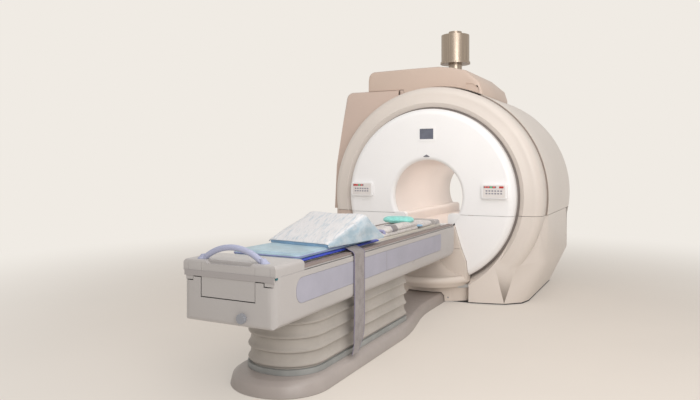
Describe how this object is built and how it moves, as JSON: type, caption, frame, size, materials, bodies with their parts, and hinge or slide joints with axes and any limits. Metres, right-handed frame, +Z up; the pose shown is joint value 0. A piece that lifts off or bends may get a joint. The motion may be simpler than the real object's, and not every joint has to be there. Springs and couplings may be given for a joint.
{
  "type": "magnetic resonance imaging scanner",
  "caption": "Whole-body MRI scanner with a round tunnel gantry, flared nose cover, vent turret and a lifting couch on a bellows plinth with a sliding tabletop.",
  "frame": {"origin": "on the floor under the tunnel's axis, in the plane of the gantry's front disc, on the underside of the couch's base plate", "axes": "+Z up; +Y along the tunnel from the couch's foot end into the gantry; +X to the right as seen from the couch's foot end"},
  "size_m": [2.365, 5.1443, 2.885],
  "materials": {
    "white_cover": "moulded cover, satin white",
    "beige_cover": "moulded cover, satin warm white",
    "cream_cover": "moulded cover, satin cream",
    "shoulder_cover": "moulded cover, satin grey beige",
    "couch_cover": "moulded cover, satin warm grey",
    "grey_cover": "moulded cover, satin grey",
    "plinth_cover": "moulded cover, satin warm grey",
    "inlay": "matt grey violet",
    "rail": "matt grey brown with grooves",
    "tabletop": "smooth laminate",
    "handle": "soft grey blue",
    "liner": "smooth warm white",
    "bellows": "soft coated cloth",
    "keypad": "membrane",
    "grey_plastic": "grey",
    "red_key": "red",
    "screen_glass": "dark screen, switched off",
    "stainless": "brushed stainless steel",
    "steel": "painted steel",
    "vessel_steel": "painted steel",
    "dark_frame": "black painted steel",
    "aluminium": "anodised",
    "resin": "cast windings in resin",
    "belt": "toothed belt",
    "teal_rubber": "rubber buffer",
    "blue_vinyl": "dark blue vinyl",
    "light_vinyl": "light blue vinyl",
    "white_cloth": "white coated cloth",
    "teal_cloth": "teal cloth",
    "webbing": "grey webbing"
  },
  "bodies": {
    "gantry": {"base_frame": "dark_frame", "magnet_supports": "steel", "magnet_vessel": "vessel_steel", "gradient_coil": "resin", "body_coil": "resin", "bore_liner": "liner", "front_upper_cover": "white_cover", "front_right_cover": "white_cover", "front_left_cover": "white_cover", "nose_upper_cover": "beige_cover", "nose_lower_cover": "beige_cover", "ring_cover": "cream_cover", "right_corner_cover": "beige_cover", "left_corner_cover": "beige_cover", "left_shoulder_cover": "shoulder_cover", "barrel_cover": "cream_cover", "turret_cover": "cream_cover", "rear_upper_cover": "cream_cover", "rear_lower_cover": "beige_cover", "vent_pipe": "stainless", "vent_sleeve": "stainless", "screen_bezel": "white_cover", "screen": "screen_glass", "laser_window": "grey_plastic", "left_panel": "white_cover", "right_panel": "white_cover", "left_keypad": "keypad", "right_keypad": "keypad", "bore_bridge": "liner", "bridge_apron": "white_cover", "couch_base": "steel", "plinth_cover": "plinth_cover", "bellows": "bellows", "bellows_collar": "plinth_cover", "fixed_columns": "aluminium"},
    "couch": {"top_columns": "aluminium", "couch_frame": "dark_frame", "couch_shell": "couch_cover", "side_inlays": "inlay", "top_deck": "couch_cover", "accessory_rails": "rail", "drive_motor": "dark_frame", "drive_belt": "belt", "table_end_cap": "couch_cover", "end_cap_face": "grey_cover", "cap_buffers": "teal_rubber", "tube_handle": "handle"},
    "lift_stage": {"middle_columns": "aluminium"},
    "knob": {"foot_knob": "grey_plastic"},
    "pulley": {"drive_pulley": "aluminium"},
    "tabletop": {"tabletop": "tabletop", "head_block": "couch_cover", "blue_mat": "blue_vinyl", "knee_pad": "light_vinyl", "wedge_cushion": "light_vinyl", "flex_coil": "white_cloth", "oval_cushion": "teal_cloth", "body_strap": "webbing"},
    "left_key": {"left_stop_key": "red_key"},
    "right_key": {"right_stop_key": "red_key"}
  },
  "joints": [
    {"name": "couch_lift", "type": "slide", "parent": "gantry", "child": "couch", "axis": [0, 0, 1], "range_m": [-0.17, 0], "deforming": ["bellows", "body_strap"]},
    {"name": "stage_lift", "type": "slide", "parent": "gantry", "child": "lift_stage", "axis": [0, 0, 1], "range_m": [-0.0852, 0.0002]},
    {"name": "table_slide", "type": "slide", "parent": "couch", "child": "tabletop", "axis": [0, 1, 0], "range_m": [0, 1.5]},
    {"name": "pulley_spin", "type": "hinge", "parent": "couch", "child": "pulley", "pos_m": [0.005, -2.84, 0.718], "axis": [1, 0, 0], "range_deg": [-2870, 5]},
    {"name": "knob_turn", "type": "hinge", "parent": "couch", "child": "knob", "pos_m": [0.105, -3.2, 0.532], "axis": [0, 1, 0], "range_deg": [0, 90]},
    {"name": "left_key_push", "type": "slide", "parent": "gantry", "child": "left_key", "axis": [0, 1, 0], "range_m": [0, 0.002], "stiffness_N_per_m": 600},
    {"name": "right_key_push", "type": "slide", "parent": "gantry", "child": "right_key", "axis": [0, 1, 0], "range_m": [0, 0.002], "stiffness_N_per_m": 600}
  ],
  "couplings": [
    {"joint": "stage_lift", "follows": "couch_lift", "ratio": 0.5},
    {"joint": "pulley_spin", "follows": "table_slide", "rad_per_m": -33.333}
  ]
}
